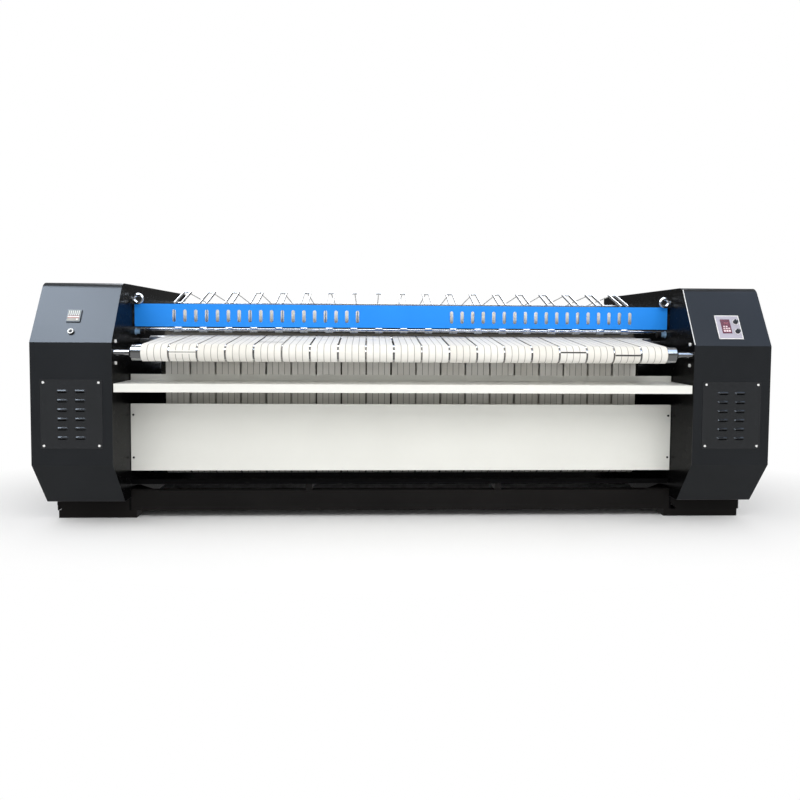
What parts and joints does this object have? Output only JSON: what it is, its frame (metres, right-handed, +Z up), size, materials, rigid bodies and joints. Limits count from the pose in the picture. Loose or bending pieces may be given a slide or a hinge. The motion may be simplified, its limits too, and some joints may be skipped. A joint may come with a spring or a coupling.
{
  "type": "flatwork ironer",
  "caption": "Industrial flatwork ironer: a wide heated drum between two cabinets, with a tape feed conveyor, finger guard, feed shelf and controls on the sloping cabinet fronts.",
  "frame": {"origin": "centre of the footprint's bounding box, on the floor", "axes": "+X along the drum to the right seen from the feeding side, +Y to the rear, +Z up"},
  "size_m": [4.224, 1.6223, 1.416],
  "materials": {
    "charcoal_paint": "semi-gloss",
    "black_paint": "gloss",
    "frame_paint": "satin",
    "white_paint": "semi-gloss",
    "blue_paint": "semi-gloss",
    "silver_sheet": "satin",
    "display_red": "gloss",
    "black_plastic": "matte",
    "switch_blue": "moulded",
    "cotton_tape": "woven",
    "polished_steel": "polished",
    "bright_steel": "bright zinc",
    "bare_steel": "machined",
    "padding": "felt over steel",
    "cast_housing": "painted",
    "motor_paint": "satin"
  },
  "bodies": {
    "frame": {"access_panel_left": "charcoal_paint", "access_panel_right": "charcoal_paint", "access_screws": "bright_steel", "anchor_bar": "bright_steel", "cabinet_cheeks": "black_paint", "cabinet_wrap_left": "charcoal_paint", "cabinet_wrap_right": "charcoal_paint", "control_plate": "silver_sheet", "conveyor_bearings": "cast_housing", "corner_gussets": "frame_paint", "cross_beams": "frame_paint", "display_window": "display_red", "drive_chain": "bare_steel", "drum_bearings": "cast_housing", "electrical_box": "frame_paint", "eyebolts": "bright_steel", "feed_bearing_bolts": "bright_steel", "feed_roller_bearings": "cast_housing", "feed_shelf": "white_paint", "feed_tapes": "cotton_tape", "feet": "frame_paint", "floor_ties": "frame_paint", "frame_plate_left": "black_paint", "frame_plate_right": "black_paint", "gearmotor": "motor_paint", "guard_pivot_pins": "bright_steel", "guard_switches": "switch_blue", "guide_arms": "bright_steel", "guide_shaft": "bright_steel", "guide_stays": "bright_steel", "key_switch_bezel": "bright_steel", "lint_tray": "black_paint", "lower_front_panel": "white_paint", "lower_rear_panel": "white_paint", "motor_bracket": "frame_paint", "outlet_shelf": "white_paint", "panel_cleats": "frame_paint", "panel_screws": "bright_steel", "plinths": "frame_paint", "pressure_bearings": "cast_housing", "rear_doors": "charcoal_paint", "shelf_brackets": "frame_paint", "side_covers": "charcoal_paint", "temperature_controller": "black_plastic"},
    "drum": {"heated_drum": "polished_steel", "drum_ends": "bare_steel", "drum_sprocket": "bare_steel"},
    "feed_roller_body": {"feed_roller": "polished_steel"},
    "nip_roller_body": {"nip_roller": "bare_steel"},
    "takeup_roller_body": {"takeup_roller": "bare_steel"},
    "snub_roller_body": {"snub_roller": "bare_steel"},
    "pressure_front_body": {"pressure_roller_front": "padding"},
    "pressure_upper_body": {"pressure_roller_upper": "padding"},
    "pressure_rear_body": {"pressure_roller_rear": "padding"},
    "drive_pinion": {"drive_sprocket": "bare_steel", "drive_shaft": "bare_steel"},
    "guard_body": {"finger_guard": "blue_paint"},
    "speed_knob_body": {"speed_knob": "black_plastic"},
    "selector_knob_body": {"selector_knob": "black_plastic"},
    "key_body": {"key_switch_rotor": "bare_steel"}
  },
  "joints": [
    {"name": "drum_spin", "type": "hinge", "parent": "frame", "child": "drum", "pos_m": [0, 0.1709, 0.867], "axis": [1, 0, 0], "continuous": true},
    {"name": "feed_roller_spin", "type": "hinge", "parent": "frame", "child": "feed_roller_body", "pos_m": [0, -0.7611, 1.017], "axis": [1, 0, 0], "continuous": true},
    {"name": "nip_roller_spin", "type": "hinge", "parent": "frame", "child": "nip_roller_body", "pos_m": [0, -0.2841, 1.075], "axis": [1, 0, 0], "continuous": true},
    {"name": "takeup_roller_spin", "type": "hinge", "parent": "frame", "child": "takeup_roller_body", "pos_m": [0, -0.2841, 0.268], "axis": [1, 0, 0], "continuous": true},
    {"name": "snub_roller_spin", "type": "hinge", "parent": "frame", "child": "snub_roller_body", "pos_m": [0, -0.3521, 0.993], "axis": [1, 0, 0], "continuous": true},
    {"name": "pressure_front_spin", "type": "hinge", "parent": "frame", "child": "pressure_front_body", "pos_m": [0, -0.10066, 1.24077], "axis": [1, 0, 0], "continuous": true},
    {"name": "pressure_upper_spin", "type": "hinge", "parent": "frame", "child": "pressure_upper_body", "pos_m": [0, 0.46787, 1.22091], "axis": [1, 0, 0], "continuous": true},
    {"name": "pressure_rear_spin", "type": "hinge", "parent": "frame", "child": "pressure_rear_body", "pos_m": [0, 0.61716, 0.98657], "axis": [1, 0, 0], "continuous": true},
    {"name": "drive_sprocket_spin", "type": "hinge", "parent": "frame", "child": "drive_pinion", "pos_m": [0, -0.0891, 0.33], "axis": [1, 0, 0], "continuous": true},
    {"name": "guard_swing", "type": "hinge", "parent": "frame", "child": "guard_body", "pos_m": [0, -0.3911, 1.284], "axis": [1, 0, 0], "range_deg": [0, 10]},
    {"name": "speed_knob_turn", "type": "hinge", "parent": "frame", "child": "speed_knob_body", "pos_m": [1.9315, -0.71556, 1.21073], "axis": [0, -0.8775, 0.4796], "range_deg": [-135, 135]},
    {"name": "selector_knob_turn", "type": "hinge", "parent": "frame", "child": "selector_knob_body", "pos_m": [1.9315, -0.74554, 1.15588], "axis": [0, -0.8775, 0.4796], "range_deg": [-45, 45]},
    {"name": "key_switch_turn", "type": "hinge", "parent": "frame", "child": "key_body", "pos_m": [-1.8945, -0.75872, 1.13175], "axis": [0, -0.8775, 0.4796], "range_deg": [-90, 0]}
  ],
  "couplings": [
    {"joint": "feed_roller_spin", "follows": "drum_spin", "ratio": 8.6021},
    {"joint": "nip_roller_spin", "follows": "drum_spin", "ratio": 12.5},
    {"joint": "takeup_roller_spin", "follows": "drum_spin", "ratio": 13.333},
    {"joint": "snub_roller_spin", "follows": "drum_spin", "ratio": -13.333},
    {"joint": "pressure_front_spin", "follows": "drum_spin", "ratio": -6.6667},
    {"joint": "pressure_upper_spin", "follows": "drum_spin", "ratio": -6.6667},
    {"joint": "pressure_rear_spin", "follows": "drum_spin", "ratio": -6.6667},
    {"joint": "drive_sprocket_spin", "follows": "drum_spin", "ratio": 3.0769}
  ]
}
